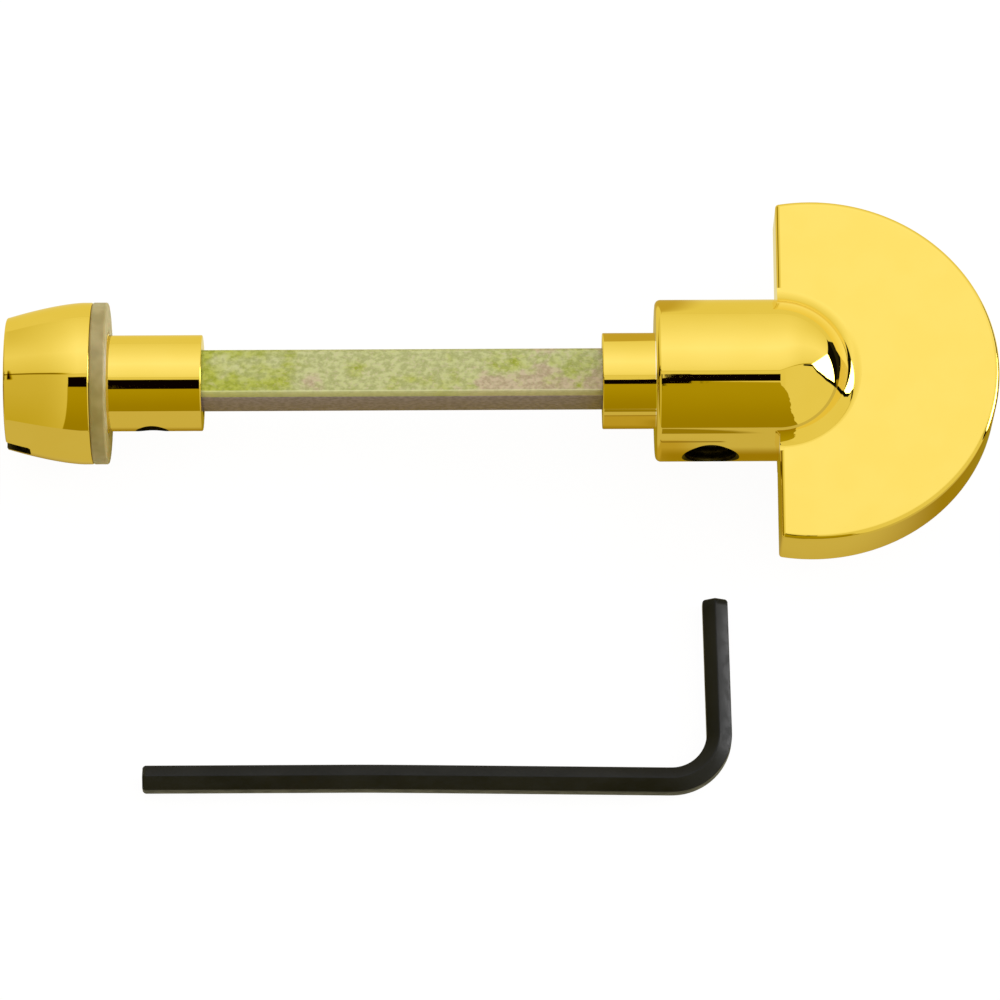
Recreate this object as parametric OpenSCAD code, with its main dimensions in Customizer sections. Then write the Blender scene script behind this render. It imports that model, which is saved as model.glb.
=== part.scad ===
// Bathroom turn and release set, lying on a flat surface.
// X runs along the spindle towards the thumb turn, Z is up, and the set screw faces -Y.
// The origin is on the axis, at the face of the washer that meets the door furniture.

/* [Spindle] */
// Side of the square spindle
spindle_w = 5; // [4:0.5:6]
// Length of the spindle
spindle_len = 70; // [60:1:90]
// Radius of the spindle's long edges
spindle_edge_r = 0.57; // [0.2:0.01:0.8]
// Gap between the centred spindle and each wall of a square bore
spindle_play = 0.25; // [0.1:0.01:0.4]
// Gap left where the spindle lies against the far wall of the bores, or a tip meets it
contact_gap = 0.02; // [0.01:0.01:0.05]

/* [Release knob] */
// Diameter of the release knob
knob_d = 16; // [14:0.5:24]
// Diameter where the taper meets the knob's outer rim
knob_face_d = 13; // [11:0.5:14]
// Length of the knob from its outer face to the washer
knob_len = 8.5; // [8:0.5:14]
// Length of the cylindrical band, before it blends into the taper
knob_band = 2; // [1.5:0.1:4]
// Radius of the blend between band and taper
knob_blend_r = 10; // [4:0.5:12]
// Chamfer of the knob's outer rim
knob_rim_chamfer = 0.3; // [0.1:0.05:1]
// Rounding of the edge that meets the washer
back_edge_r = 0.15; // [0.05:0.05:0.4]
// Width of the coin slot
coin_slot_w = 1.9; // [1:0.1:2.5]
// Depth of the coin slot
coin_slot_depth = 2.4; // [1:0.1:3]
// How deep the spindle sits in the knob, behind the washer's door face
spindle_back = 5; // [3:0.5:6]

/* [Shanks] */
// Diameter of the shank on the release knob
release_shank_d = 9.5; // [9:0.5:12]
// Length of the release shank beyond the washer
release_shank_len = 9.3; // [7:0.1:14]
// Diameter of the shank on the thumb turn
turn_shank_d = 9.5; // [9:0.5:12]
// Length of the thumb turn's shank
turn_shank_len = 5.3; // [3:0.1:10]
// Rounding of the shanks' free ends
shank_end_r = 0.25; // [0.1:0.05:0.5]

/* [Door washer] */
// Thickness of the washer
washer_t = 1.5; // [0.8:0.1:3]
// How much the seat that centres the washer stands out from the shank
washer_seat_step = 0.2; // [0.1:0.05:0.5]
// Gap between the washer's bore and its seat
washer_play = 0.1; // [0.05:0.01:0.3]

/* [Spring pin] */
// Diameter of the slotted spring pin
pin_d = 3; // [2:0.5:3.5]
// Length of the spring pin
pin_len = 7.5; // [6:0.5:8]
// How far the pin's visible end lies below the shank's surface
pin_recess = 0.7; // [0.2:0.1:1.2]
// Wall of the spring pin
pin_wall = 0.6; // [0.4:0.05:0.8]
// Width of the slit along the spring pin
pin_slit = 0.6; // [0.3:0.1:1]
// Gap between the spring pin and its hole
pin_play = 0.05; // [0.02:0.01:0.1]
// Distance of the pin from the washer's door face
pin_x = 4.3; // [3:0.1:5]
// Tilt of the pin's visible end below the horizontal
pin_tilt = 11; // [0:1:30]

/* [Thumb turn] */
// How far the spindle reaches into the neck, past the neck's flat face
spindle_in_neck = 10.9; // [9:0.1:12]
// Diameter of the round neck
neck_d = 16; // [14:0.5:18]
// Length of the neck up to the plate's straight edge
neck_len = 12; // [10:0.5:20]
// Rounding of the neck's flat face
neck_edge_r = 0.3; // [0.1:0.05:0.6]
// Radius of the thumb plate's round outline
plate_r = 17.8; // [15:0.1:20]
// Reach of the thumb plate from its straight edge to its nose
plate_reach = 21.8; // [20:0.1:26]
// Thickness of the thumb plate
plate_t = 6.9; // [5:0.1:9]
// Rounding of the plate's edges
plate_edge_r = 0.5; // [0.2:0.1:1]
// Radius of the fillet between the neck's domed end and the plate
dome_fillet_r = 2.2; // [1:0.1:3]
// How far the square bore runs past the plate's straight edge
bore_past_edge = 4; // [2:0.5:6]

/* [Set screw] */
// Thread diameter of the set screw
screw_d = 5; // [4:0.5:6]
// Length of the set screw
screw_len = 4; // [3:0.5:5]
// Gap between the screw and its hole
screw_play = 0.05; // [0.02:0.01:0.1]
// Distance of the screw from the neck's flat face
screw_from_face = 5.3; // [4:0.1:7]
// Depth of the hexagon socket
socket_depth = 2.2; // [1.5:0.1:2.6]
// Gap between the hex key and the socket's flats
socket_play = 0.04; // [0.02:0.01:0.1]
// Widening of the screw hole's mouth
mouth_chamfer = 0.15; // [0.05:0.05:0.3]

/* [Hex key] */
// Size of the hex key across its flats
key_af = 2.5; // [2:0.5:3]
// Overall length of the key's long arm
key_long = 57.8; // [45:1:80]
// Overall length of the key's short arm
key_short = 19.5; // [15:0.5:24]
// Radius of the key's bend, to the middle of the bar
key_bend_r = 3.2; // [2.5:0.1:6]
// Distance of the key's long arm in front of the axis
key_y = 39.1; // [38:0.5:60]
// Place along X where the key's long arm starts
key_x = 3.5; // [0:0.1:20]

/* [Hidden] */

overcut = 1;
round_fn = 96;
right_angle = 90;

release_shank_r = release_shank_d / 2;
turn_shank_r = turn_shank_d / 2;
knob_back_x = -washer_t;
knob_face_x = knob_back_x - knob_len;
spindle_x = -spindle_back;
bore_w = spindle_w + 2 * spindle_play;
spindle_off = spindle_play - contact_gap;
pin_hole_r = pin_d / 2 + pin_play;
pin_foot = release_shank_r - pin_recess - pin_len;
washer_r = knob_d / 2;
washer_seat_r = release_shank_r + washer_seat_step;

// The neck's flat face leaves this much room for the door.
door_room = spindle_x + spindle_len - spindle_in_neck;
neck_r = neck_d / 2;
turn_shank_x = door_room - turn_shank_len;
plate_x = door_room + neck_len;
screw_x = door_room + screw_from_face;
screw_tip_y = spindle_off - spindle_w / 2 - contact_gap;

// The fillet's circle rolls on the dome and on the plate's face, and bites a little into both.
fillet_bite = 0.02;
fillet_root = 0.5;
fillet_z = plate_t / 2 + dome_fillet_r - fillet_bite;
fillet_x = sqrt(pow(neck_r + dome_fillet_r - fillet_bite, 2) - pow(fillet_z, 2));

// The key lies on the same surface as the knob, with a corner of its bar up.
ground_z = -max(knob_d, neck_d) / 2;
key_corner_r = key_af / 2 / cos(30);
key_z = ground_z + key_corner_r;

// Unit vector from a to b.
function toward(a, b) = (b - a) / norm(b - a);

// Distance from a corner to where an arc of radius r leaves its sides.
function tangent_length(p, a, b, r) = r / tan(acos(toward(p, a) * toward(p, b)) / 2);

// Centre of the arc of radius r that rounds corner p between a and b.
function arc_centre(p, a, b, r) =
    let (u = toward(p, a), v = toward(p, b))
    p + (u + v) / norm(u + v) * r / sin(acos(u * v) / 2);

// The two points that take the place of corner p, or the corner itself where r is 0.
function chord(p, a, b, r) =
    r == 0 ? [p] : [p + toward(p, a) * tangent_length(p, a, b, r), p + toward(p, b) * tangent_length(p, a, b, r)];

// Outline whose convex corners are true arcs: each point is [x, y, corner radius].
module rounded_outline(points) {
    n = len(points);
    corners = [for (q = points) [q[0], q[1]]];
    polygon([for (i = [0:n - 1])
        each chord(corners[i], corners[(i + n - 1) % n], corners[(i + 1) % n], points[i][2])]);
    for (i = [0:n - 1]) {
        before = corners[(i + n - 1) % n];
        after = corners[(i + 1) % n];
        r = points[i][2];
        if (r > 0) {
            ends = chord(corners[i], before, after, r);
            intersection() {
                translate(arc_centre(corners[i], before, after, r)) circle(r = r, $fn = round_fn);
                polygon([ends[0], corners[i], ends[1]]);
            }
        }
    }
}

// Solid turned about the X axis: each point is [radius, x, corner radius].
module turned(points) {
    rotate([0, right_angle, 0]) rotate_extrude($fn = round_fn) rounded_outline(points);
}

// Square bore about the axis.
module square_bore(from_x, to_x) {
    translate([from_x, -bore_w / 2, -bore_w / 2]) cube([to_x - from_x, bore_w, bore_w]);
}

// Places a child's Z axis along the spring pin, pointing out of its hole, with Z 0 on the shank's axis.
module at_pin() {
    translate([pin_x, 0, 0]) rotate([right_angle + pin_tilt, 0, 0]) children();
}

// Blind hole for the spring pin, drilled through the near wall and the spindle into the far wall.
module pin_hole() {
    at_pin() translate([0, 0, pin_foot - pin_play])
        cylinder(r = pin_hole_r, h = release_shank_r + overcut - pin_foot + pin_play, $fn = round_fn);
}

// Places a child's Z axis along the set screw, pointing out of the neck.
module at_screw(y) {
    translate([screw_x, y, 0]) rotate([right_angle, 0, 0]) children();
}

// Hexagonal bar section with a corner at the top and bottom.
module key_section() {
    rotate(right_angle / 3) circle(r = key_corner_r, $fn = 6);
}

module release_knob() {
    color("gold") difference() {
        turned([
            [0, knob_face_x, 0],
            [knob_face_d / 2 - knob_rim_chamfer, knob_face_x, 0],
            [knob_face_d / 2, knob_face_x + knob_rim_chamfer, 0],
            [knob_d / 2, knob_back_x - knob_band, knob_blend_r],
            [knob_d / 2, knob_back_x, back_edge_r],
            [washer_seat_r, knob_back_x, 0],
            [washer_seat_r, -contact_gap, 0],
            [release_shank_r, -contact_gap, 0],
            [release_shank_r, release_shank_len, shank_end_r],
            [0, release_shank_len, 0]
        ]);
        square_bore(spindle_x - spindle_play, release_shank_len + overcut);
        translate([knob_face_x - overcut, -knob_d / 2 - overcut, -coin_slot_w / 2])
            cube([coin_slot_depth + overcut, knob_d + 2 * overcut, coin_slot_w]);
        pin_hole();
    }
}

module release_pin() {
    color("dimgray") at_pin() translate([0, 0, pin_foot]) difference() {
        cylinder(d = pin_d, h = pin_len, $fn = round_fn);
        translate([0, 0, -overcut]) {
            cylinder(r = pin_d / 2 - pin_wall, h = pin_len + 2 * overcut, $fn = round_fn);
            translate([0, -pin_slit / 2, 0]) cube([pin_d, pin_slit, pin_len + 2 * overcut]);
        }
    }
}

module door_washer() {
    bore_r = washer_seat_r + washer_play;
    color("tan") turned([
        [bore_r, -washer_t, 0],
        [washer_r, -washer_t, back_edge_r],
        [washer_r, 0, back_edge_r],
        [bore_r, 0, 0]
    ]);
}

module spindle() {
    half = spindle_w / 2;
    color("darkkhaki") difference() {
        translate([spindle_x, spindle_off, 0]) rotate([right_angle, 0, right_angle])
            linear_extrude(spindle_len) rounded_outline([
                [-half, -half, spindle_edge_r],
                [half, -half, spindle_edge_r],
                [half, half, spindle_edge_r],
                [-half, half, spindle_edge_r]
            ]);
        pin_hole();
    }
}

// Turned disc with rounded edges, cut off along the plate's straight edge.
module thumb_plate() {
    half_t = plate_t / 2;
    intersection() {
        translate([plate_reach - plate_r, 0, 0]) rotate_extrude($fn = 2 * round_fn) rounded_outline([
            [0, -half_t, 0],
            [plate_r, -half_t, plate_edge_r],
            [plate_r, half_t, plate_edge_r],
            [0, half_t, 0]
        ]);
        translate([0, -plate_r - overcut, -plate_t])
            cube([plate_reach + overcut, 2 * (plate_r + overcut), 2 * plate_t]);
    }
}

// Fillet between the neck's domed end and the upper face of the plate, round the dome's half circle.
module dome_fillet() {
    dome_touch = [fillet_x, fillet_z] * (neck_r - fillet_root) / norm([fillet_x, fillet_z]);
    rotate(-right_angle) rotate_extrude(angle = 2 * right_angle, $fn = round_fn) difference() {
        polygon([
            [dome_touch[0], plate_t / 2 - fillet_root],
            [fillet_x, plate_t / 2 - fillet_root],
            [fillet_x, fillet_z],
            dome_touch
        ]);
        translate([fillet_x, fillet_z]) circle(r = dome_fillet_r, $fn = round_fn);
    }
}

module thumb_turn() {
    color("gold") difference() {
        union() {
            turned([
                [0, turn_shank_x, 0],
                [turn_shank_r, turn_shank_x, shank_end_r],
                [turn_shank_r, door_room, 0],
                [neck_r, door_room, neck_edge_r],
                [neck_r, plate_x + neck_r, neck_r],
                [0, plate_x + neck_r, 0]
            ]);
            translate([plate_x, 0, 0]) {
                thumb_plate();
                dome_fillet();
                mirror([0, 0, 1]) dome_fillet();
            }
        }
        square_bore(turn_shank_x - overcut, plate_x + bore_past_edge);
        at_screw(0) cylinder(d = screw_d, h = neck_r + overcut, $fn = round_fn);
        at_screw(mouth_chamfer - neck_r)
            cylinder(d1 = screw_d, d2 = screw_d + 4 * mouth_chamfer, h = 2 * mouth_chamfer, $fn = round_fn);
    }
}

module turn_screw() {
    color("silver") at_screw(screw_tip_y) difference() {
        cylinder(r = screw_d / 2 - screw_play, h = screw_len, $fn = round_fn);
        translate([0, 0, screw_len - socket_depth])
            cylinder(r = key_corner_r + socket_play / cos(30), h = socket_depth + overcut, $fn = 6);
    }
}

module hex_key() {
    half = key_af / 2;
    long_run = key_long - half - key_bend_r;
    short_run = key_short - half - key_bend_r;
    bend_x = key_x + long_run;
    color("black") translate([0, -key_y, key_z]) {
        translate([key_x, 0, 0]) rotate([right_angle, 0, right_angle]) linear_extrude(long_run) key_section();
        translate([bend_x, key_bend_r, 0]) rotate(-right_angle)
            rotate_extrude(angle = right_angle, $fn = round_fn) translate([key_bend_r, 0]) key_section();
        translate([bend_x + key_bend_r, key_bend_r + short_run, 0]) rotate([right_angle, 0, 0])
            linear_extrude(short_run) key_section();
    }
}

release_knob();
release_pin();
door_washer();
spindle();
thumb_turn();
turn_screw();
hex_key();
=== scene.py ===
import math

import bmesh
import bpy
import numpy as np
from mathutils import Matrix, Vector


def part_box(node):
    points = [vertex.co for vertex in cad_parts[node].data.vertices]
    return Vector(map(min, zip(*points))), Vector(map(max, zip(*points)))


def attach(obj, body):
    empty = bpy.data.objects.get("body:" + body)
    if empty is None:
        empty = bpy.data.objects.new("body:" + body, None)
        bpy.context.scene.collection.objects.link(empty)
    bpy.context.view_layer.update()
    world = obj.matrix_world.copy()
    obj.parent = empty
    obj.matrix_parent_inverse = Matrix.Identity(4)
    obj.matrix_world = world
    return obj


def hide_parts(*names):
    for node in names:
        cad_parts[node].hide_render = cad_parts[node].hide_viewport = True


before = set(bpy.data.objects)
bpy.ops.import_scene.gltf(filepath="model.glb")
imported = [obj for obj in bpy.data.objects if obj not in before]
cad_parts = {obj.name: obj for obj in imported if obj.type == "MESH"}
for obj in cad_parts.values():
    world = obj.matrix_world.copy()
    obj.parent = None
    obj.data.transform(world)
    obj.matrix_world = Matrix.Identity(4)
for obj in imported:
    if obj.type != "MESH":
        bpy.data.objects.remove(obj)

MM = 0.001
TAU = 2.0 * math.pi
SMOOTH_DEG = 32.0

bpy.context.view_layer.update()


# Places taken from the frame, in millimetres.

def box_mm(node):
    """Lowest and highest corner of a CAD node, in millimetres."""
    lo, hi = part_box(node)
    return np.array(lo) / MM, np.array(hi) / MM


knob_lo, knob_hi = box_mm("release_knob")
washer_lo, washer_hi = box_mm("door_washer")
spindle_lo, spindle_hi = box_mm("spindle")
turn_lo, turn_hi = box_mm("thumb_turn")
screw_hi = box_mm("turn_screw")[1]
key_lo, key_hi = box_mm("hex_key")
ground_z = min(turn_lo[2], knob_lo[2])
spindle_y = (spindle_lo[1] + spindle_hi[1]) / 2.0


# Surfaces.

def skin(name, rings, smooth_deg=SMOOTH_DEG):
    """A closed skin over a grid of points rings[i, j]: j runs round each ring and joins up,
    i runs along, and the first and last ring are each filled with one flat face."""
    rings = np.asarray(rings, dtype=float)
    n, m = rings.shape[:2]
    i, j = np.meshgrid(np.arange(n - 1), np.arange(m), indexing="ij")
    k = (j + 1) % m
    quads = np.stack([i * m + j, i * m + k, (i + 1) * m + k, (i + 1) * m + j], axis=-1)
    faces = quads.reshape(-1, 4).tolist()
    faces.append(list(range(m))[::-1])
    faces.append(list(range((n - 1) * m, n * m)))
    return shell(name, rings.reshape(-1, 3), faces, smooth_deg)


def loop_skin(name, rings):
    """A closed skin over a grid that joins up in both directions, such as a ring's."""
    rings = np.asarray(rings, dtype=float)
    n, m = rings.shape[:2]
    i, j = np.meshgrid(np.arange(n), np.arange(m), indexing="ij")
    k = (j + 1) % m
    h = (i + 1) % n
    quads = np.stack([i * m + j, i * m + k, h * m + k, h * m + j], axis=-1)
    return shell(name, rings.reshape(-1, 3), quads.reshape(-1, 4).tolist(), SMOOTH_DEG)


def shell(name, points_mm, faces, smooth_deg):
    """One closed mesh object from points in millimetres: doubles merged, faces outward,
    smooth but for edges sharper than smooth_deg."""
    mesh = bpy.data.meshes.new(name)
    mesh.from_pydata((np.asarray(points_mm) * MM).tolist(), [], faces)
    work = bmesh.new()
    work.from_mesh(mesh)
    bmesh.ops.remove_doubles(work, verts=work.verts, dist=1e-8)
    bmesh.ops.dissolve_degenerate(work, edges=work.edges, dist=1e-9)
    bmesh.ops.recalc_face_normals(work, faces=work.faces)
    work.to_mesh(mesh)
    work.free()
    obj = bpy.data.objects.new(name, mesh)
    bpy.context.scene.collection.objects.link(obj)
    soften(obj, smooth_deg)
    return obj


def soften(obj, smooth_deg):
    """Smooth shading, with the edges sharper than smooth_deg kept crisp."""
    mesh = obj.data
    mesh.polygons.foreach_set("use_smooth", np.ones(len(mesh.polygons), dtype=bool))
    mesh.set_sharp_from_angle(angle=math.radians(smooth_deg))
    mesh.update()


def straight(start, end, steps):
    """Points on a line, with one close to each end so that a flat stays flat in its shading."""
    hold = 0.04
    start, end = np.asarray(start, float), np.asarray(end, float)
    length = float(np.linalg.norm(end - start))
    near = min(hold / length, 0.3)
    parts = np.concatenate([[0.0], np.linspace(near, 1.0 - near, steps + 1), [1.0]])
    return start + (end - start) * parts[:, None]


def arc(centre, radius, from_deg, to_deg, steps):
    """Points on an arc: centre plus radius times the cosine and sine of the angle."""
    a = np.radians(np.linspace(from_deg, to_deg, steps + 1))
    return np.asarray(centre, float) + radius * np.stack([np.cos(a), np.sin(a)], axis=1)


def turned(name, profile, around=192, loop=False):
    """A profile of (x, radius) turned about the X axis: each point becomes the ring
    (x, radius cos a, radius sin a). A profile with loop=True closes on itself."""
    profile = np.concatenate(profile)
    a = np.arange(around) / around * TAU
    rings = np.stack([
        np.repeat(profile[:, :1], around, axis=1),
        profile[:, 1:] * np.cos(a),
        profile[:, 1:] * np.sin(a)], axis=-1)
    return (loop_skin if loop else skin)(name, rings)


def along(name, section, origin, axis, side, stations):
    """A section of (u, v) carried along a straight axis. stations holds (distance, scale):
    the ring there is origin + axis * distance + (side * u + cross * v) * scale."""
    axis, side = np.asarray(axis, float), np.asarray(side, float)
    cross = np.cross(axis, side)
    flat = section[:, :1] * side + section[:, 1:] * cross
    rings = [np.asarray(origin, float) + axis * d + flat * s for d, s in stations]
    return skin(name, np.array(rings))


def circle(radius, steps=64):
    """A full circle of points, without its closing point."""
    return arc((0.0, 0.0), radius, 0.0, 360.0, steps)[:-1]


def rounded_square(side, radius, steps=8):
    """A square with four corner arcs, counter-clockwise."""
    half = side / 2.0 - radius
    corners = [(half, half), (-half, half), (-half, -half), (half, -half)]
    turns = [arc(c, radius, 90.0 * k, 90.0 * (k + 1), steps) for k, c in enumerate(corners)]
    return np.concatenate(turns)


def hexagon(across_flats, edge_r):
    """A hexagon with a corner up (along v) and its six corners slightly rounded."""
    reach = across_flats / math.sqrt(3.0)
    inner = reach - edge_r * 2.0 / math.sqrt(3.0)
    parts = []
    for k in range(6):
        at = 90.0 + 60.0 * k
        centre = (inner * math.cos(math.radians(at)), inner * math.sin(math.radians(at)))
        parts.append(arc(centre, edge_r, at - 30.0, at + 30.0, 4))
    return np.concatenate(parts)


def cut(obj, *cutters, smooth_deg=SMOOTH_DEG):
    """Takes the cutters' solids out of obj, and removes the cutters. The walls that a cutter
    leaves keep the cutter's own finish."""
    for tool in cutters:
        step = obj.modifiers.new("cut", "BOOLEAN")
        step.operation = "DIFFERENCE"
        step.solver = "EXACT"
        step.material_mode = "TRANSFER"
        step.object = tool
    graph = bpy.context.evaluated_depsgraph_get()
    mesh = bpy.data.meshes.new_from_object(obj.evaluated_get(graph))
    obj.modifiers.clear()
    obj.data = mesh
    for tool in cutters:
        bpy.data.objects.remove(tool)
    soften(obj, smooth_deg)
    return obj


def joined(name, objs):
    """One object that holds the meshes of several closed shells, with their finishes."""
    finishes = []
    for obj in objs:
        finishes += [m for m in obj.data.materials if m not in finishes]
    work = bmesh.new()
    for obj in objs:
        order = np.array([finishes.index(m) for m in obj.data.materials])
        index = np.zeros(len(obj.data.polygons), dtype=np.int32)
        obj.data.polygons.foreach_get("material_index", index)
        obj.data.polygons.foreach_set("material_index", order[index].astype(np.int32))
        work.from_mesh(obj.data)
        bpy.data.objects.remove(obj)
    mesh = bpy.data.meshes.new(name)
    work.to_mesh(mesh)
    work.free()
    for finish in finishes:
        mesh.materials.append(finish)
    whole = bpy.data.objects.new(name, mesh)
    bpy.context.scene.collection.objects.link(whole)
    return whole


# Shader fields. A field is a number that varies over a surface or over the sky.

def feed(slot, value):
    """Links a field or colour socket into an input, or sets a number or a colour there."""
    if isinstance(value, Field):
        value = value.socket
    if isinstance(value, bpy.types.NodeSocket):
        slot.id_data.links.new(value, slot)
    elif slot.type == "RGBA":
        slot.default_value = (*value, 1.0)
    else:
        slot.default_value = value


def node(tree, kind, **values):
    """A node with settings by attribute name and inputs by in_NAME, where _ stands for a space."""
    made = tree.nodes.new(kind)
    for key, value in values.items():
        if key.startswith("in_"):
            feed(made.inputs[key[3:].replace("_", " ")], value)
        else:
            setattr(made, key, value)
    return made


def maths(tree, operation, *terms):
    """One Math node over its terms, which are fields or numbers."""
    made = node(tree, "ShaderNodeMath", operation=operation)
    for slot, term in zip(made.inputs, terms):
        feed(slot, term)
    return Field(made.outputs[0])


class Field:
    """A number output of a node. Arithmetic on it adds Math nodes to the same tree."""

    def __init__(self, socket):
        self.socket = socket
        self.tree = socket.id_data

    def __add__(self, other):
        return maths(self.tree, "ADD", self, other)

    def __sub__(self, other):
        return maths(self.tree, "SUBTRACT", self, other)

    def __rsub__(self, other):
        return maths(self.tree, "SUBTRACT", other, self)

    def __mul__(self, other):
        return maths(self.tree, "MULTIPLY", self, other)

    def __truediv__(self, other):
        return maths(self.tree, "DIVIDE", self, other)

    def __pow__(self, other):
        return maths(self.tree, "POWER", self, other)

    def at_least(self, other):
        """The greater of the two."""
        return maths(self.tree, "MAXIMUM", self, other)

    def at_most(self, other):
        """The lesser of the two."""
        return maths(self.tree, "MINIMUM", self, other)

    def degrees(self):
        """Radians turned into degrees."""
        return maths(self.tree, "DEGREES", self)

    def ramp(self, low, high, low2=0.0, high2=1.0, kind="SMOOTHSTEP"):
        """Maps low..high to low2..high2, held at the ends."""
        made = node(self.tree, "ShaderNodeMapRange", interpolation_type=kind, in_Value=self,
                    in_From_Min=low, in_From_Max=high, in_To_Min=low2, in_To_Max=high2)
        return Field(made.outputs[0])

    def fall(self, low, high):
        """1 below low, 0 above high."""
        return self.ramp(low, high, 1.0, 0.0)

    def band(self, low, high, soft):
        """1 between low and high, with soft edges."""
        return self.ramp(low - soft, low + soft) * self.fall(high - soft, high + soft)


def object_place(tree):
    """The coordinates of the object that is shaded, in metres."""
    return node(tree, "ShaderNodeTexCoord").outputs["Object"]


def parts_of(vector):
    """The x, y and z fields of a vector socket."""
    made = node(vector.id_data, "ShaderNodeSeparateXYZ", in_Vector=vector)
    return [Field(part) for part in made.outputs]


def noise(vector, scale, detail, roughness):
    """Cloud noise over a vector socket."""
    made = node(vector.id_data, "ShaderNodeTexNoise", in_Vector=vector, in_Scale=scale,
                in_Detail=detail, in_Roughness=roughness)
    return Field(made.outputs[0])


def mixed(factor, a, b):
    """The colour a where the field factor is 0 and b where it is 1, as a colour socket."""
    made = node(factor.tree, "ShaderNodeMix", data_type="RGBA")
    first, second = [slot for slot in made.inputs if slot.type == "RGBA"]
    feed(made.inputs[0], factor)
    feed(first, a)
    feed(second, b)
    return [slot for slot in made.outputs if slot.type == "RGBA"][0]


def blended(factor, a, b):
    """The number a where the field factor is 0 and b where it is 1."""
    made = node(factor.tree, "ShaderNodeMix", data_type="FLOAT", in_Factor=factor, in_A=a, in_B=b)
    return Field(made.outputs[0])


def stretched(vector, scale):
    """The coordinates stretched by three factors, for a pattern that runs along a piece."""
    made = node(vector.id_data, "ShaderNodeMapping", in_Vector=vector, in_Scale=scale)
    return made.outputs[0]


# Materials. The numbers in patchy and noise are scales, in cycles to the metre.

def patches_group():
    """Soft patches in two sizes over a surface. Outputs a wide mask, a fine mask, and a height."""
    group = bpy.data.node_groups.new("surface_patches", "ShaderNodeTree")
    face = group.interface
    face.new_socket("Vector", in_out="INPUT", socket_type="NodeSocketVector")
    for title, usual in (("Wide scale", 150.0), ("Fine scale", 2500.0), ("Fine share", 0.1)):
        face.new_socket(title, in_out="INPUT", socket_type="NodeSocketFloat").default_value = usual
    for title in ("Wide mask", "Fine mask", "Height"):
        face.new_socket(title, in_out="OUTPUT", socket_type="NodeSocketFloat")
    given = node(group, "NodeGroupInput").outputs
    broad = noise(given["Vector"], Field(given["Wide scale"]), 2.0, 0.45)
    small = noise(given["Vector"], Field(given["Fine scale"]), 3.0, 0.6)
    node(group, "NodeGroupOutput",
         in_Wide_mask=broad.ramp(0.35, 0.65),
         in_Fine_mask=small.ramp(0.35, 0.65),
         in_Height=small * Field(given["Fine share"]) + broad)
    return group


patches = patches_group()


def patchy(vector, wide, fine, share):
    """The surface_patches group at its own scales: the wide mask, the fine mask, the height."""
    made = node(vector.id_data, "ShaderNodeGroup", node_tree=patches, in_Vector=vector,
                in_Wide_scale=wide, in_Fine_scale=fine, in_Fine_share=share)
    return [Field(socket) for socket in made.outputs]


def finish_of(name, **shader):
    """A new material: returns it with its Principled shader and the object coordinates."""
    made = bpy.data.materials.new(name)
    made.use_nodes = True
    surface = made.node_tree.nodes["Principled BSDF"]
    for key, value in shader.items():
        feed(surface.inputs[key.replace("_", " ")], value)
    return made, surface, object_place(made.node_tree)


def laid(surface, tone, gloss, height, relief_mm):
    """Feeds the shader its colour, its roughness and a relief of that height."""
    feed(surface.inputs["Base Color"], tone)
    feed(surface.inputs["Roughness"], gloss)
    bump = node(surface.id_data, "ShaderNodeBump", in_Distance=relief_mm * MM, in_Height=height)
    feed(surface.inputs["Normal"], bump.outputs[0])


def gold_plate():
    """Polished brass plating over a die casting: it mirrors, and the casting waves a little."""
    made, surface, place = finish_of("polished_gold_plate", Metallic=1.0,
                                     Specular_Tint=(1.0, 0.92, 0.60))
    wide, fine, height = patchy(place, 260.0, 2600.0, 0.003)
    tone = mixed(wide, (0.985, 0.738, 0.140), (0.978, 0.728, 0.132))
    # A gold face seen in another keeps its brightness, as in the photograph.
    second = Field(node(made.node_tree, "ShaderNodeLightPath").outputs["Is Glossy Ray"])
    # Painted reflection: mirror rays see the gold painted paler than its own colour.
    tone = mixed(second, tone, (1.0, 0.97, 0.90))
    laid(surface, tone, fine.ramp(0.0, 1.0, 0.011, 0.019), height, 0.0035)
    return made


def painted_shade_in_recess():
    """The same plating on the walls of the holes and the slot: dull, and painted dark for the
    shade in there, darker and lighter in patches.
    """
    made, surface, place = finish_of("painted_shade_in_recess", Metallic=1.0)
    wide, fine, height = patchy(place, 700.0, 3000.0, 0.4)
    tone = mixed(wide, (0.040, 0.030, 0.006), (0.085, 0.064, 0.016))
    laid(surface, tone, fine.ramp(0.0, 1.0, 0.30, 0.48), height, 0.01)
    return made


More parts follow.
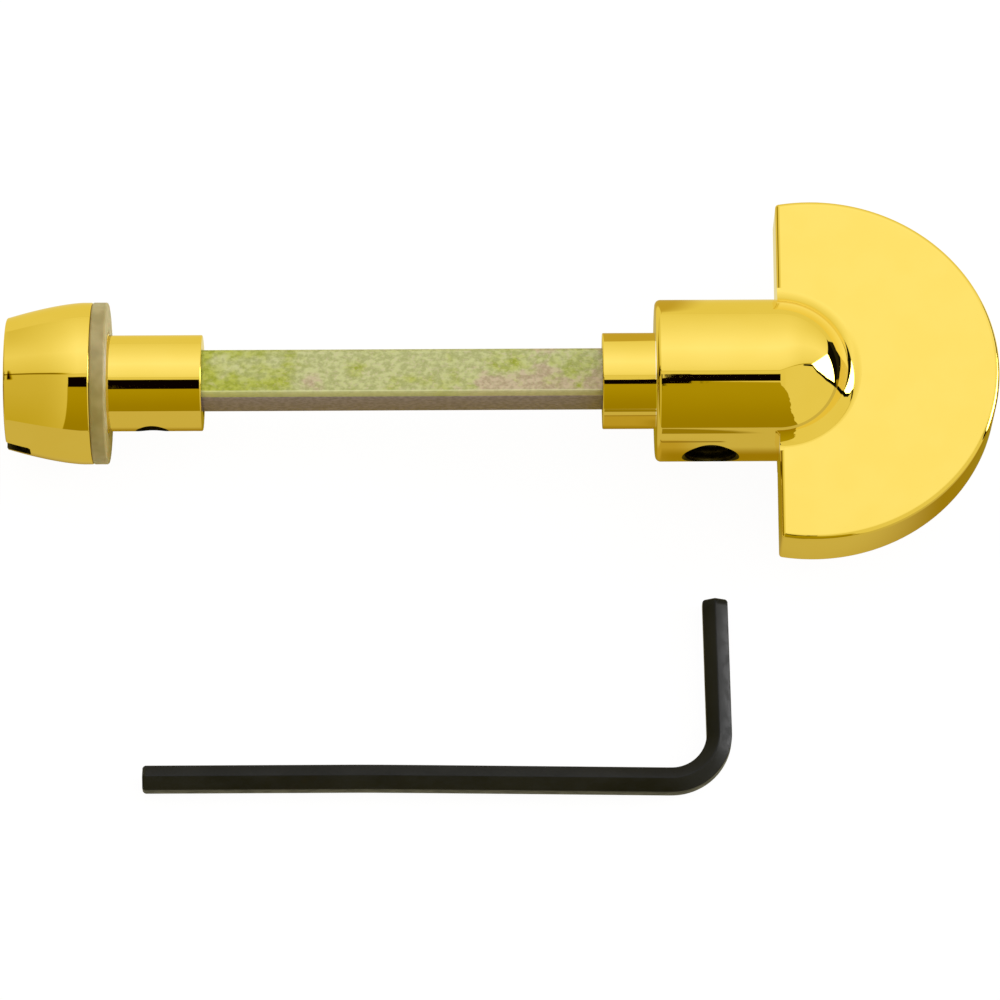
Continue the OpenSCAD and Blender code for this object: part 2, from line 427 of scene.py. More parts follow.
def zinc_passivate():
    """Yellow passivated zinc on drawn steel: a fine speckle, olive at the knob's end, greyer
    along the middle and rosy in places near the turn."""
    made, surface, place = finish_of("passivated_zinc", IOR=1.5)
    x, y, _ = parts_of(place)
    grain = stretched(place, (0.75, 1.0, 1.0))
    wide, fine, height = patchy(grain, 2600.0, 5600.0, 0.7)
    cloud = noise(grain, 210.0, 4.0, 0.65)
    speck = noise(grain, 3300.0, 2.0, 0.7)

    # The cloud is raised where a tint is common and lowered where it is rare.
    past_knob = x.ramp(0.008, 0.026, -0.20, 0.14, "LINEAR")
    grey = (cloud + past_knob).ramp(0.40, 0.60)
    near_turn = x.ramp(0.024, 0.042, -0.18, 0.12, "LINEAR")
    near_front = y.ramp(-0.0016, 0.0016, 0.07, -0.07, "LINEAR")
    rosy = (cloud + near_turn + near_front).ramp(0.47, 0.58)
    olive = mixed(wide, (0.32, 0.365, 0.026), (0.485, 0.53, 0.078))
    dull = mixed(wide, (0.42, 0.44, 0.170), (0.61, 0.63, 0.300))
    blush = mixed(wide, (0.46, 0.34, 0.23), (0.65, 0.51, 0.38))
    tone = mixed(rosy, mixed(grey, olive, dull), blush)
    pink = speck.ramp(0.52, 0.64) * x.ramp(0.010, 0.026, 0.12, 0.40)
    tone = mixed(pink, tone, (0.66, 0.56, 0.40))
    tone = mixed(fine * 0.30, tone, mixed(grey, (0.53, 0.565, 0.13), (0.62, 0.64, 0.39)))

    # Painted light on the lower edge: a painted highlight line, then a pale painted sheen on the
    # round, less metallic there, down to the front flank, painted dusky for its shade.
    painted_edge_highlight = y.band(-0.00182, -0.00168, 0.00004)
    painted_round_sheen = y.band(-0.00222, -0.00182, 0.00006)
    painted_flank_shade = y.fall(-0.00225, -0.00222)
    tone = mixed(painted_edge_highlight * 0.6, tone, (0.78, 0.80, 0.50))
    tone = mixed(painted_round_sheen * 0.7, tone, (0.56, 0.55, 0.33))
    tone = mixed(painted_flank_shade, tone, mixed(wide, (0.28, 0.225, 0.34), (0.40, 0.325, 0.48)))
    feed(surface.inputs["Metallic"], 0.5 - painted_round_sheen * 0.45)
    laid(surface, tone, fine.ramp(0.0, 1.0, 0.28, 0.42), height, 0.005)
    return made


def nylon_turned():
    """Tan nylon with faint turning marks round the axis."""
    made, surface, place = finish_of("tan_nylon", Metallic=0.0, IOR=1.53, Subsurface_Weight=0.15,
                                     Subsurface_Scale=0.6 * MM)
    wide, fine, _ = patchy(place, 500.0, 2200.0, 0.3)
    wave = node(made.node_tree, "ShaderNodeTexWave", wave_type="RINGS", rings_direction="X",
                in_Vector=place, in_Scale=900.0, in_Distortion=1.5)
    marks = Field(wave.outputs["Fac"])
    tone = mixed(wide, (0.37, 0.30, 0.135), (0.47, 0.39, 0.20))
    tone = mixed(marks * 0.15, tone, (0.36, 0.29, 0.14))
    laid(surface, tone, fine.ramp(0.0, 1.0, 0.30, 0.45), marks, 0.004)
    return made


def spring_steel():
    """Plain oiled spring steel with fine drawing marks, painted dark for the shade down in the
    pin's hole.
    """
    made, surface, place = finish_of("spring_steel_painted_dark", Metallic=1.0)
    wide, fine, height = patchy(place, 900.0, 3200.0, 0.5)
    tone = mixed(wide, (0.13, 0.125, 0.115), (0.21, 0.20, 0.185))
    laid(surface, tone, fine.ramp(0.0, 1.0, 0.25, 0.4), height, 0.003)
    return made


def black_oxide():
    """Black oxide on drawn steel: near black, brown in a few places, streaky along X and Y."""
    made, surface, place = finish_of("black_oxide", Metallic=0.0, IOR=1.32)
    wide, fine, height = patchy(stretched(place, (0.35, 0.35, 1.0)), 380.0, 2400.0, 0.5)
    tone = mixed(wide, (0.0060, 0.0065, 0.0090), (0.012, 0.0125, 0.0155))
    brown = noise(place, 240.0, 3.0, 0.5).ramp(0.62, 0.74, 0.0, 0.6)
    tone = mixed(brown, tone, (0.016, 0.010, 0.007))
    laid(surface, tone, fine.ramp(0.0, 1.0, 0.28, 0.42), height, 0.006)
    return made


gold = gold_plate()
zinc = zinc_passivate()
nylon = nylon_turned()
steel = spring_steel()
oxide = black_oxide()
recess_shade = painted_shade_in_recess()


def dressed(obj, material):
    """obj with that finish all over."""
    obj.data.materials.clear()
    obj.data.materials.append(material)
    faces = obj.data.polygons
    faces.foreach_set("material_index", np.zeros(len(faces), dtype=np.int32))
    return obj


def wear(obj, material, body, slot, *nodes):
    """Gives obj its finish where it has none yet, and sets it on its body in place of the CAD
    nodes."""
    if not any(obj.data.materials):
        dressed(obj, material)
    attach(obj, body)
    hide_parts(*nodes)


# Release knob.

bore_side = 5.5
bore_corner_r = 0.35
past_end = 0.1
hub_r = 0.3
shank_r = 4.75
pin_x = 4.3
pin_tilt = math.radians(11.0)
pin_axis = (0.0, -math.cos(pin_tilt), -math.sin(pin_tilt))
pin_hole_r = 1.55
pin_len = 7.5
pin_below = 0.7
pin_clearance = 0.05
pin_foot = shank_r - pin_below - pin_len

face_x, shank_end = knob_lo[0], knob_hi[0]
knob_r = knob_hi[1]
knob_back = -1.5
crown_start = -2.4
crown_gain = 0.0725
crown_power = 1.5
rim_r = 0.22
back_r = 0.15
shank_round = 0.12
seat_r = shank_r + 0.2
washer_gap = 0.02


def crown(x):
    """Radius of the knob's crown at x: knob_r less crown_gain times the distance past
    crown_start, which is raised to the power crown_power."""
    reach = np.maximum(crown_start - np.asarray(x, float), 0.0)
    return knob_r - crown_gain * reach ** crown_power


def release_knob():
    """The knob's profile turned about X, less the coin slot, the square bore and the pin hole."""
    rim_x = np.linspace(face_x + rim_r, crown_start, 48)
    rim_top = crown(rim_x[0])
    profile = [
        np.array([[face_x, 0.0]]),
        straight((face_x, hub_r), (face_x, rim_top - rim_r), 8),
        arc((face_x + rim_r, rim_top - rim_r), rim_r, 180.0, 96.0, 6)[1:],
        np.stack([rim_x, crown(rim_x)], axis=1)[1:],
        straight((crown_start, knob_r), (knob_back - back_r, knob_r), 2)[1:],
        arc((knob_back - back_r, knob_r - back_r), back_r, 90.0, 0.0, 5)[1:],
        straight((knob_back, knob_r - back_r), (knob_back, seat_r), 4)[1:],
        straight((knob_back, seat_r), (-washer_gap, seat_r), 2)[1:],
        straight((-washer_gap, seat_r), (-washer_gap, shank_r), 1)[1:],
        straight((-washer_gap, shank_r), (shank_end - shank_round, shank_r), 12)[1:],
        arc((shank_end - shank_round, shank_r - shank_round), shank_round, 90.0, 0.0, 5)[1:],
        straight((shank_end, shank_r - shank_round), (shank_end, hub_r), 3)[1:],
        np.array([[shank_end, 0.0]])]
    body = turned("release_knob_casting", profile, around=256)

    # The slot's section in (x, z): a flat floor with bevelled corners and a flared mouth.
    slot_half, slot_depth, slot_bevel, slot_flare = 0.95, 2.4, 0.2, 0.12
    floor_x, outside_x, lip_x = face_x + slot_depth, face_x - 1.0, face_x - 0.02
    lower_half = [
        (floor_x, -slot_half + slot_bevel), (floor_x - slot_bevel, -slot_half),
        (face_x + slot_flare, -slot_half), (lip_x, -slot_half - slot_flare),
        (outside_x, -slot_half - slot_flare)]
    upper_half = [(x, -z) for x, z in reversed(lower_half)]
    slot_section = np.array([upper_half[-1], *lower_half, *upper_half[:-1]])
    slot_reach = knob_r + 1.0
    slot_tool = along("slot_tool", slot_section, (0, -slot_reach, 0), (0, 1, 0), (1, 0, 0),
                      [(0.0, 1.0), (2.0 * slot_reach, 1.0)])
    square_tool = along("bore_tool", rounded_square(bore_side, bore_corner_r),
                        (spindle_lo[0] - past_end, 0, 0), (1, 0, 0), (0, 1, 0),
                        [(0.0, 1.0), (shank_end + 10.0, 1.0)])
    mouth_depth, mouth_scale = 0.12, 1.12
    mouth = [(pin_foot - pin_clearance, 1.0), (shank_r - mouth_depth, 1.0),
             (shank_r + past_end, mouth_scale), (shank_r + 1.5, mouth_scale)]
    pin_tool = along("pin_tool", circle(pin_hole_r), (pin_x, 0, 0), pin_axis, (1, 0, 0), mouth)
    dressed(body, gold)
    # The walls that the cutters leave are painted dark for the shade in the slot, the bore and the
    # pin's hole.
    return cut(body, *[dressed(tool, recess_shade) for tool in (slot_tool, square_tool, pin_tool)])


def spring_pin():
    """A slotted spring pin: a C of sheet, carried along its axis, with tapered ends."""
    outer, wall, slit, taper, tip_scale = 1.5, 0.6, 0.6, 0.35, 0.86
    gap = math.degrees(slit / 2.0 / outer)
    gap_in = math.degrees(slit / 2.0 / (outer - wall))
    section = np.concatenate([
        arc((0, 0), outer, gap, 360.0 - gap, 56),
        arc((0, 0), outer - wall, 360.0 - gap_in, gap_in, 40)])
    top = pin_foot + pin_len
    stations = [(pin_foot, tip_scale), (pin_foot + taper, 1.0), (top - taper, 1.0),
                (top, tip_scale)]
    return along("spring_pin", section, (pin_x, 0, 0), pin_axis, (1, 0, 0), stations)


wear(release_knob(), gold, "release", "polished_gold", "release_knob")
wear(spring_pin(), steel, "release", "spring_steel", "release_pin")


# Washer.

def door_washer():
    """A flat ring turned about X, its four edges rounded."""
    play, face_gap, edge = 0.1, 0.01, 0.18
    outer, inner = washer_hi[1], seat_r + play
    left, right = washer_lo[0] + face_gap, washer_hi[0]
    profile = [
        arc((left + edge, outer - edge), edge, 180.0, 90.0, 5),
        straight((left + edge, outer), (right - edge, outer), 2)[1:],
        arc((right - edge, outer - edge), edge, 90.0, 0.0, 5)[1:],
        straight((right, outer - edge), (right, inner + edge), 8)[1:],
        arc((right - edge, inner + edge), edge, 0.0, -90.0, 5)[1:],
        straight((right - edge, inner), (left + edge, inner), 2)[1:],
        arc((left + edge, inner + edge), edge, -90.0, -180.0, 5)[1:],
        straight((left, inner + edge), (left, outer - edge), 8)[1:-1]]
    return turned("door_washer_ring", profile, loop=True)


wear(door_washer(), nylon, "washer", "nylon", "door_washer")


# Spindle.

def square_spindle():
    """A drawn square bar with rounded corners and lightly chamfered sawn ends, less the pin's
    hole."""
    length = spindle_hi[0] - spindle_lo[0]
    side, edge, chamfer, end_scale, plain = 5.0, 0.57, 0.15, 0.94, 0.5
    stations = [(0.0, end_scale), (chamfer, 1.0)]
    stations += [(d, 1.0) for d in np.linspace(plain, length - plain, 71)]
    stations += [(length - chamfer, 1.0), (length, end_scale)]
    bar = along("square_spindle", rounded_square(side, edge, 10), (spindle_lo[0], spindle_y, 0),
                (1, 0, 0), (0, 1, 0), stations)
    outside = 7.0
    hole = along("hole_tool", circle(pin_hole_r, 48), (pin_x, 0, 0), pin_axis, (1, 0, 0),
                 [(pin_foot - pin_clearance, 1.0), (outside, 1.0)])
    return cut(dressed(bar, zinc), dressed(hole, zinc))


wear(square_spindle(), zinc, "release", "passivated_steel", "spindle")


# Thumb turn.

neck_r = 8.0
plate_x = 66.1
plate_t = 6.9
turn_shank_x = turn_lo[0]
neck_x = 54.0
nose_x = turn_hi[0]
plate_half_y = 17.65
plate_mid_x = 69.45
plate_edge_r = 0.5
plate_corner_r = 0.35
screw_x = 59.4
dome_fillet_r = 2.2


def plate_outline(inset):
    """The plate seen from above, pulled in by inset: a bow of points that lie inset inside the
    ellipse ((x - plate_mid_x) / a) squared + (y / b) squared = 1, along its normals, closed by
    the straight edge at plate_x + inset. Each corner is an arc that touches both."""
    a, b = nose_x - plate_mid_x, plate_half_y
    least_r = 0.02
    corner = max(plate_corner_r - inset, least_r)
    angle = np.linspace(0.0, math.pi, 8001)
    nx, ny = np.cos(angle) / a, np.sin(angle) / b
    size = np.hypot(nx, ny)
    nx, ny = nx / size, ny / size
    ex = plate_mid_x + a * np.cos(angle) - inset * nx
    ey = b * np.sin(angle) - inset * ny
    last = int(np.argmax(ex - corner * nx < plate_x + inset + corner))
    centre = np.array([plate_x + inset + corner, ey[last] - corner * ny[last]])
    pick = np.linspace(0, last, 220).astype(int)
    bow = np.stack([ex[pick], ey[pick]], axis=1)
    start = math.degrees(math.atan2(ny[last], nx[last]))
    turn = arc(centre, corner, start, 180.0, 8)[1:]
    edge_y = np.linspace(centre[1], 0.0, 24)[1:]
    edge = np.stack([np.full_like(edge_y, plate_x + inset), edge_y], axis=1)
    upper = np.concatenate([bow, turn, edge])
    return np.concatenate([upper, (upper * [1.0, -1.0])[-2:0:-1]])


def thumb_plate():
    """The plate as rings: the outline pulled in by r(1 - cos t) while the height goes out to
    half the thickness less r(1 - sin t), from the lower face round the rim to the upper face."""
    half, r = plate_t / 2.0, plate_edge_r
    t = np.radians(np.linspace(90.0, 0.0, 9))
    inset = r * (1.0 - np.cos(t))
    rise = half - r + r * np.sin(t)
    hold = 0.05
    # A ring at hold past each end of the round keeps the flats flat in their shading.
    upper = [(r + hold, half), *zip(inset, rise), (0.0, half - r - hold)]
    lower = [(i, -z) for i, z in reversed(upper)]
    rings = []
    for i, z in [*upper, (0.0, 0.0), *lower]:
        outline = plate_outline(i)
        rings.append(np.column_stack([outline, np.full(len(outline), z)]))
    return skin("plate_shell", rings)


def dome_fillet(side):
    """The hollow round between dome and plate face: an arc of dome_fillet_r that touches both,
    closed below the surfaces and carried half way round the vertical axis through the dome."""
    half = plate_t / 2.0
    top = half + dome_fillet_r
    middle = math.sqrt((neck_r + dome_fillet_r) ** 2 - top ** 2)
    slope = math.degrees(math.atan2(top, middle))
    sweep = arc((middle, top), dome_fillet_r, 180.0 + slope, 270.0, 18)
    bite, sunk, hidden_width = 0.015, half - 0.5, 2.4
    hidden = np.array([(middle + 0.02, sunk), (middle - hidden_width, sunk)])
    section = np.concatenate([sweep - [bite, bite], hidden])
    a = np.radians(np.linspace(-90.0, 90.0, 97))
    rings = np.stack([
        plate_x + section[None, :, 0] * np.cos(a)[:, None],
        section[None, :, 0] * np.sin(a)[:, None],
        np.broadcast_to(side * section[None, :, 1], (len(a), len(section)))], axis=-1)
    return skin("fillet_shell", rings)


def turn_neck():
    """Shank, neck and dome as one profile turned about X."""
    edge = 0.55
    profile = [
        np.array([[turn_shank_x, 0.0]]),
        straight((turn_shank_x, hub_r), (turn_shank_x, shank_r - shank_round), 3),
        arc((turn_shank_x + shank_round, shank_r - shank_round), shank_round, 180.0, 90.0, 5)[1:],
        straight((turn_shank_x + shank_round, shank_r), (neck_x, shank_r), 6)[1:],
        straight((neck_x, shank_r), (neck_x, neck_r - edge), 4)[1:],
        arc((neck_x + edge, neck_r - edge), edge, 180.0, 90.0, 7)[1:],
        straight((neck_x + edge, neck_r), (plate_x, neck_r), 20)[1:],
        arc((plate_x, 0.0), neck_r, 90.0, 0.0, 64)[1:-1],
        np.array([[plate_x + neck_r, 0.0]])]
    return turned("neck_shell", profile, around=256)


def bore_tool(name):
    """The square bore of the turn, which ends inside the plate."""
    start, length = turn_shank_x - 1.0, 22.3
    return along(name, rounded_square(bore_side, bore_corner_r), (start, 0, 0), (1, 0, 0),
                 (0, 1, 0), [(0.0, 1.0), (length, 1.0)])


def screw_hole_tool():
    """The tapped hole: a cylinder along -Y with a flared mouth and fine ridges, whose height
    is depth (1 + cos(TAU distance / pitch)) / 2."""
    radius, pitch, depth, flare = 2.55, 0.8, 0.10, 1.16
    thread_from, thread_to, mouth_depth = 2.6, neck_r - 0.35, 0.28
    stations = [(0.0, 1.0)]
    for d in np.arange(thread_from, thread_to, pitch / 4.0):
        wave = 0.5 + 0.5 * math.cos(TAU * d / pitch)
        stations.append((float(d), 1.0 - depth * wave / radius))
    stations += [(neck_r - mouth_depth, 1.0), (neck_r + 0.12, flare), (neck_r + 1.2, flare)]
    return along("screw_hole_tool", circle(radius, 72), (screw_x, 0, 0), (0, -1, 0), (1, 0, 0),
                 stations)


def thumb_turn():
    """The casting's shells: neck and dome, plate, and a hollow round on each face."""
    # The walls of the bores and the tapped hole are painted dark for their shade.
    bores = [dressed(bore_tool(f"{part}_bore_tool"), recess_shade) for part in ("neck", "plate")]
    neck = cut(dressed(turn_neck(), gold), bores[0], dressed(screw_hole_tool(), recess_shade))
    plate = cut(dressed(thumb_plate(), gold), bores[1])
    rounds = [dressed(dome_fillet(side), gold) for side in (1.0, -1.0)]
    whole = joined("thumb_turn_casting", [neck, plate, *rounds])
    soften(whole, SMOOTH_DEG)
    return whole


wear(thumb_turn(), gold, "turn", "polished_gold", "thumb_turn")


# Set screw.

def set_screw():
    """A socket set screw along -Y: the radius falls and rises along a helix, as
    radius - depth * triangle(distance / pitch - angle / TAU), and both ends are chamfered."""
    radius, pitch, depth, length, chamfer = 2.5, 0.8, 0.43, 4.0, 0.5
    crisp_deg, around = 25.0, 96
    back_y = screw_hi[1]
    d = np.linspace(0.0, length, 81)[:, None]
    a = (np.arange(around) / around * TAU)[None, :]
    phase = np.mod(d / pitch - a / TAU, 1.0)
    groove = 1.0 - np.abs(2.0 * phase - 1.0)
    r = radius - depth * groove
    ends = np.minimum(d, length - d)
    r = np.minimum(r, radius - chamfer + ends)
    rings = np.stack([screw_x + r * np.cos(a), back_y - d + 0.0 * a, r * np.sin(a)], axis=-1)
    body = skin("set_screw", rings, smooth_deg=crisp_deg)
    # The socket's tool starts at its floor and widens over the mouth.
    flats, corner_r, deep, flare = 2.58, 0.06, 2.2, 1.15
    socket = along("socket_tool", hexagon(flats, corner_r), (screw_x, back_y - length + deep, 0),
                   (0, -1, 0), (1, 0, 0),
                   [(0.0, 1.0), (deep - 0.1, 1.0), (deep + 0.2, flare), (deep + 0.8, flare)])
    return cut(dressed(body, oxide), dressed(socket, oxide), smooth_deg=crisp_deg)


wear(set_screw(), oxide, "screw", "black_oxide_steel", "turn_screw")


# Hex key.

def hex_key():
    """A hexagon carried along the key's path: the long arm along X, which sags sideways by
    tan(bow) * s squared / (s + sag_start), s past its straight part, a bend of even radius, and
    the short arm, which leans a little towards the long one. Both ends are chamfered."""
    across, edge_r, bend_r = 2.5, 0.16, 4.7
    bow, lean, sag_start, sag_room = math.radians(0.9), math.radians(1.0), 4.0, 0.25
    long_y = key_lo[1] + across / 2.0 + sag_room
    mid_z = (key_lo[2] + key_hi[2]) / 2.0
    short_x = key_hi[0] - across / 2.0
    straight_to = 24.0
    bend_x = short_x - bend_r
    x = np.linspace(key_lo[0], bend_x, 120)[:-1]
    sag = np.maximum(x - straight_to, 0.0)
    long_arm = np.stack([x, long_y - math.tan(bow) * sag ** 2 / (sag + sag_start)], axis=1)
    bend_at = np.array([bend_x, long_arm[-1, 1] + bend_r])
    sweep = math.pi / 2.0 + bow + lean
    a = np.linspace(-math.pi / 2.0 - bow, -math.pi / 2.0 - bow + sweep, 33)
    bend = bend_at + bend_r * np.stack([np.cos(a), np.sin(a)], axis=1)
    heading = np.array([-math.sin(a[-1]), math.cos(a[-1])])
    reach = (key_hi[1] - bend[-1, 1]) / heading[1]
    out = np.linspace(0.0, reach, 40)[1:]
    short_arm = bend[-1] + heading * out[:, None]
    path = np.concatenate([long_arm, bend, short_arm])
    tangent = np.gradient(path, axis=0)
    run = np.concatenate([[0.0], np.cumsum(np.linalg.norm(np.diff(path, axis=0), axis=1))])
    # Stations close to both ends carry the chamfer.
    tip = np.array([0.0, 0.1, 0.28])
    tip_scale = np.array([0.84, 0.93, 1.0])
    clear = 1.5 * tip[-1]
    body = run[(run > clear) & (run < run[-1] - clear)]
    grid = np.concatenate([tip, body, run[-1] - tip[::-1]])
    shrink = np.concatenate([tip_scale, np.ones(len(body)), tip_scale[::-1]])
    px, py = np.interp(grid, run, path[:, 0]), np.interp(grid, run, path[:, 1])
    tx, ty = np.interp(grid, run, tangent[:, 0]), np.interp(grid, run, tangent[:, 1])
    size = np.hypot(tx, ty)
    side = np.stack([ty / size, -tx / size], axis=1)
    section = hexagon(across, edge_r)
    u = section[None, :, 0] * shrink[:, None]
    v = section[None, :, 1] * shrink[:, None]
    rings = np.stack([
        px[:, None] + side[:, :1] * u,
        py[:, None] + side[:, 1:] * u,
        mid_z + v], axis=-1)
    return skin("hex_key_bent", rings, smooth_deg=40.0)


# The gold doesn't mirror the key: table_in_mirrors has a strip for it.
key = hex_key()
key.visible_glossy = False
wear(key, oxide, "key", "black_oxide_steel", "hex_key")


# Floor, light and camera.

BLACK = (0.004, 0.004, 0.004)
SEEN_TABLE = (1.06, 1.06, 1.07)
TABLE_PAINT = (0.84, 0.84, 0.84)
# The table as mirrors show it, painted dimmer in front and paler behind for how the tent lights
# it.
TABLE_IN_FRONT = (0.60, 0.55, 0.34)
TABLE_BEHIND = (0.80, 0.76, 0.48)


def rays(tree):
    """Fields that are 1 for camera rays, mirror rays and see-through rays."""
    path = node(tree, "ShaderNodeLightPath").outputs
    return [Field(path[f"Is {kind} Ray"]) for kind in ("Camera", "Glossy", "Transmission")]


def table_in_mirrors(x, y):
    """The table's colour as the gold shows it, over its places in metres: warm, painted paler
    behind the set, with painted shadow under and beside the set and past the key, a painted
    reflection of the key, and black painted in a wedge beyond the plate's nose."""
    look = mixed(y.ramp(-0.003, 0.006), TABLE_IN_FRONT, TABLE_BEHIND)
    # Painted shadow, tinted by the gold, beside the neck and past the key.
    shade_by_neck = x.ramp(0.045, 0.049) * x.fall(0.056, 0.060) * y.ramp(-0.036, -0.030)
    look = mixed(shade_by_neck * 0.75, look, (0.46, 0.34, 0.03))
    shade_past_key = x.band(0.046, 0.066, 0.002) * y.fall(-0.074, -0.068)
    look = mixed(shade_past_key, look, (0.30, 0.235, 0.003))
    # The painted black beyond the plate's nose lies in a wedge that starts at this x.
    wedge_x = 0.072
    lean = y / (x - wedge_x).at_least(0.01)
    look = mixed(lean.band(-0.13, 0.80, 0.01) * x.ramp(0.12, 0.13), look, BLACK)
    # The key itself is hidden from mirrors, so a strip stands for its short arm: a painted
    # reflection.
    key_reflection_strip = x.band(0.045, 0.0615, 0.0004) * y.band(-0.0305, -0.0278, 0.0005)
    look = mixed(key_reflection_strip * 0.8, look, (0.22, 0.14, 0.002))
    # Painted shadow under the turn and under the set.
    shade_under_turn = x.ramp(0.052, 0.056) * y.band(-0.0165, 0.004, 0.0045)
    shade_under_set = y.band(-0.0075, 0.003, 0.0025)
    return mixed(shade_under_turn.at_least(shade_under_set), look, (0.34, 0.25, 0.008))


def white_floor():
    """A wide plain table: white to the camera, warm in mirrors with painted light and shade there,
    and with a soft shadow.
    """
    half = 900.0
    corners = [(-half, -half), (half, -half), (half, half), (-half, half)]
    mesh = bpy.data.meshes.new("floor")
    mesh.from_pydata([(x * MM, y * MM, ground_z * MM) for x, y in corners], [], [(0, 1, 2, 3)])
    floor = bpy.data.objects.new("floor", mesh)
    bpy.context.scene.collection.objects.link(floor)
    made = bpy.data.materials.new("white_table")
    made.use_nodes = True
    tree = made.node_tree
    tree.nodes.clear()

    seen, mirrored, through = rays(tree)
    white = seen.at_least(through)
    x, y, _ = parts_of(object_place(tree))
    paint = node(tree, "ShaderNodeBsdfDiffuse", in_Color=TABLE_PAINT)
    glow = node(tree, "ShaderNodeEmission",
                in_Color=mixed(white, table_in_mirrors(x, y), SEEN_TABLE))
    # The share of paint that is left lets the set's shadow show.
    share = (white * 0.90).at_least(mirrored * 0.98)
    blend = node(tree, "ShaderNodeMixShader", in_Fac=share)
    tree.links.new(paint.outputs[0], blend.inputs[1])
    tree.links.new(glow.outputs[0], blend.inputs[2])
    node(tree, "ShaderNodeOutputMaterial", in_Surface=blend.outputs[0])
    mesh.materials.append(made)


def colour_ramp(value, stops):
    """A Color Ramp node over a field, with stops of (position, colour)."""
    made = node(value.tree, "ShaderNodeValToRGB", in_Fac=value)
    spots = made.color_ramp.elements
    while len(spots) < len(stops):
        spots.new(0.5)
    for spot, (position, colour) in zip(spots, stops):
        spot.position = position
        spot.color = (*colour, 1.0)
    return made


def curve(value, stops, span):
    """A curve through stops of (place, level), over a field of places from 0 to span. Each
    level is a grey, and the brightness of a grey is the level itself."""
    greys = [(place / span, (level, level, level)) for place, level in stops]
    return Field(colour_ramp(value / span, greys).outputs[0])


def tent_walls(over, aside, wander):
    """Brightness of the tent's cloth. over is the angle in degrees up from the front horizon,
    past the top at 90 to the back; aside is the angle to the right."""
    # A fold parts the dim front from the bright back, and it rises to both sides.
    rise = (aside - 2.0).at_least(0.0) * 0.40 + (-18.0 - aside).at_least(0.0) * 0.19
    fold = over - rise
    cloth = curve(fold, [
        (0.0, 0.68), (60.0, 0.77), (83.6, 0.79), (84.6, 0.90), (93.0, 0.965), (109.0, 1.03),
        (118.0, 1.07), (130.0, 1.03), (150.0, 0.94), (178.0, 0.84)], span=180.0)
    left = aside.ramp(-30.0, -8.0, 0.80, 1.0)
    far_left = aside.ramp(-62.0, -42.0, 0.35, 1.0)
    right = aside.ramp(8.0, 35.0, 1.0, 0.93)
    front_right = aside.ramp(0.0, 10.0) * fold.fall(83.6, 84.6)
    level = (cloth * left * right * far_left).at_least(front_right * 0.80)

    # A dim panel in front, whose right edge is ragged and leans. A level of 1 is 100 degrees.
    ragged = wander * 7.0 + (aside - 3.5)
    edge = curve(over, [
        (0.0, 0.24), (8.0, 0.20), (26.0, 0.165), (39.0, 0.155), (52.0, 0.135), (61.0, 0.055),
        (69.0, 0.02)], span=90.0) * 100.0
    panel = over.fall(69.0, 72.0) * aside.ramp(-17.6, -17.0) * (edge - ragged).ramp(-0.4, 0.4)
    level = blended(panel, level, over.ramp(0.0, 69.0, 0.33, 0.42))

    level = blended(camera_opening(over, aside, wander), level, 0.003)
    wide_seam = fold.band(84.0, 86.4, 0.5) * aside.ramp(-24.0, -13.0, 0.95, 0.0)
    thin_seam = fold.band(84.0, 84.9, 0.4) * aside.ramp(12.0, 34.0, 0.28, 0.8)
    level = blended(wide_seam.at_least(thin_seam), level, 0.2)
    corner = over.band(79.0, 96.0, 2.0) * aside.fall(-36.4, -35.4)
    return blended(corner, level, 0.01)


def camera_opening(over, aside, wander):
    """1 in the dark opening for the camera: a slit whose edges step from span to span."""
    # Each span's left end, then the slit's upper and lower edge there, in degrees.
    spans = [(-20.0, 80.3, 66.0), (-3.72, 79.0, 57.0), (-2.0, 74.0, 63.5), (1.42, 79.2, 66.8),
             (1.72, 78.6, 70.0)]
    from_deg, whole_deg, per_colour = -20.0, 25.0, 100.0
    steps = colour_ramp((aside - from_deg) / whole_deg, [
        ((start - from_deg) / whole_deg, (high / per_colour, low / per_colour, 0.0))
        for start, high, low in spans])
    steps.color_ramp.interpolation = "CONSTANT"
    both = node(aside.tree, "ShaderNodeSeparateColor", in_Color=steps.outputs[0])
    high, low = [Field(part) * per_colour for part in both.outputs[:2]]
    high = high + wander * aside.ramp(1.2, 1.6) * 2.0
    return (aside.band(-17.0, 3.2, 0.04)
            * (over - high).fall(-0.4, 0.4)
            * (over - low).ramp(-0.4, 0.4))


def window_lamp(x, y, z):
    """Masks of the window at the plate's nose, 1 in its frame and 1 in its pane. They are
    drawn on the plane x = 1, where a ray meets the place (u, v)."""
    ahead = x.ramp(0.02, 0.05)
    u, v = [part / x.at_least(0.02) for part in (y, z)]
    # The pane's near edge is bent: the furthest of three lines at each v.
    near = (v * 0.668 - 0.422).at_least(v * 0.244 - 0.132).at_least(-0.058).at_most(0.175)
    off_near = u - near
    off_far = (0.568 - v * 0.42) - u
    off_sill = v - (u * 0.39 + 0.056)
    sill = off_sill.fall(0.0, 0.01) * (u * 0.63 + v).fall(0.52, 0.54) * u.ramp(-0.13, -0.12)
    post = off_near.band(-0.065, 0.002, 0.006) * v.fall(1.35, 1.5)
    inside = off_near.at_most(off_far).at_most(off_sill)
    return sill.at_least(post) * ahead, inside.ramp(-0.004, 0.008) * ahead


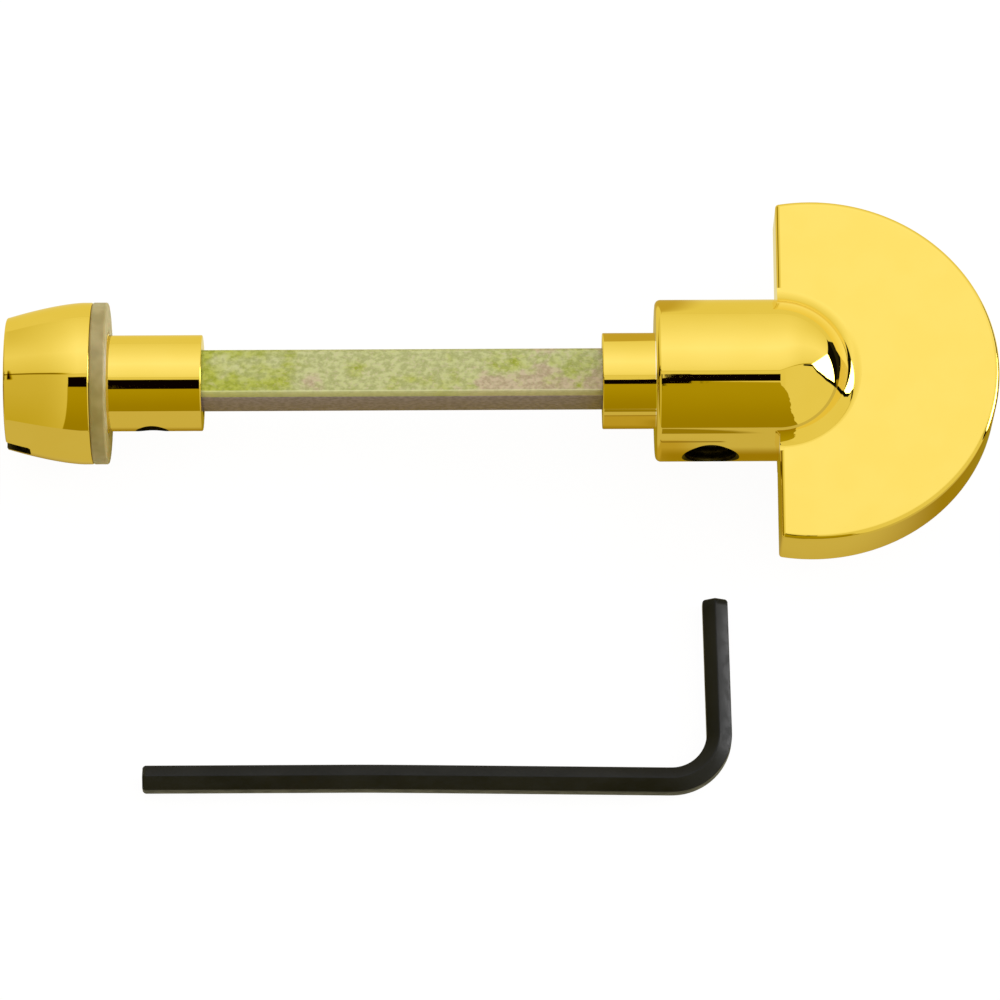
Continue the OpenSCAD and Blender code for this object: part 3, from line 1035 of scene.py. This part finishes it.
def light_tent():
    """A light tent: bright behind and above, dim in front, with the camera's dark opening in it
    and one window at the thumb turn's end. The camera itself sees white."""
    world = bpy.data.worlds.new("light_tent")
    bpy.context.scene.world = world
    world.use_nodes = True
    tree = world.node_tree
    tree.nodes.clear()
    way = node(tree, "ShaderNodeTexCoord").outputs["Generated"]
    x, y, z = parts_of(way)
    over = maths(tree, "ARCTAN2", z.at_least(0.0), y * -1.0).degrees()
    aside = maths(tree, "ARCSINE", x).degrees()
    level = tent_walls(over, aside, noise(way, 7.0, 4.0, 0.6))

    # The cloth turns the light warmer where it is dimmer.
    cloth = node(tree, "ShaderNodeCombineXYZ", in_X=level, in_Y=level ** 1.22,
                 in_Z=level ** 3.2 * level.ramp(0.35, 0.65)).outputs[0]
    below = mixed(y.ramp(-0.1, 0.1), TABLE_IN_FRONT, TABLE_BEHIND)
    light = mixed(z.fall(-0.01, 0.0), cloth, below)
    frame_mask, pane_mask = window_lamp(x, y, z)
    light = mixed(frame_mask, light, BLACK)
    # A mirror in a mirror sees the pane no brighter than the cloth.
    depth = node(tree, "ShaderNodeLightPath").outputs["Glossy Depth"]
    second_mirror = maths(tree, "GREATER_THAN", Field(depth), 1.5)
    pane = mixed(second_mirror, (8.0, 8.0, 8.0), (0.78, 0.72, 0.5))
    light = mixed(pane_mask, light, pane)

    seen, _, through = rays(tree)
    glow = node(tree, "ShaderNodeBackground",
                in_Color=mixed(seen.at_least(through), light, (1.0, 1.0, 1.0)))
    node(tree, "ShaderNodeOutputWorld", in_Surface=glow.outputs[0])


def photo_camera():
    """A long lens high in front, looking down on the set."""
    data = bpy.data.cameras.new("photo_camera")
    data.sensor_width = 36.0
    data.lens = 224.4
    data.clip_start = 0.01
    camera = bpy.data.objects.new("photo_camera", data)
    bpy.context.scene.collection.objects.link(camera)
    place = Vector((38.84, -203.83, 582.1)) * MM
    aim = Vector((38.64, -12.33, 0.0)) * MM
    roll = math.radians(-0.33)
    facing = (aim - place).to_track_quat("-Z", "Y").to_matrix().to_4x4()
    camera.matrix_world = Matrix.Translation(place) @ facing @ Matrix.Rotation(roll, 4, "Z")
    bpy.context.scene.camera = camera


white_floor()
light_tent()
photo_camera()
bpy.context.scene.view_settings.view_transform = "Standard"
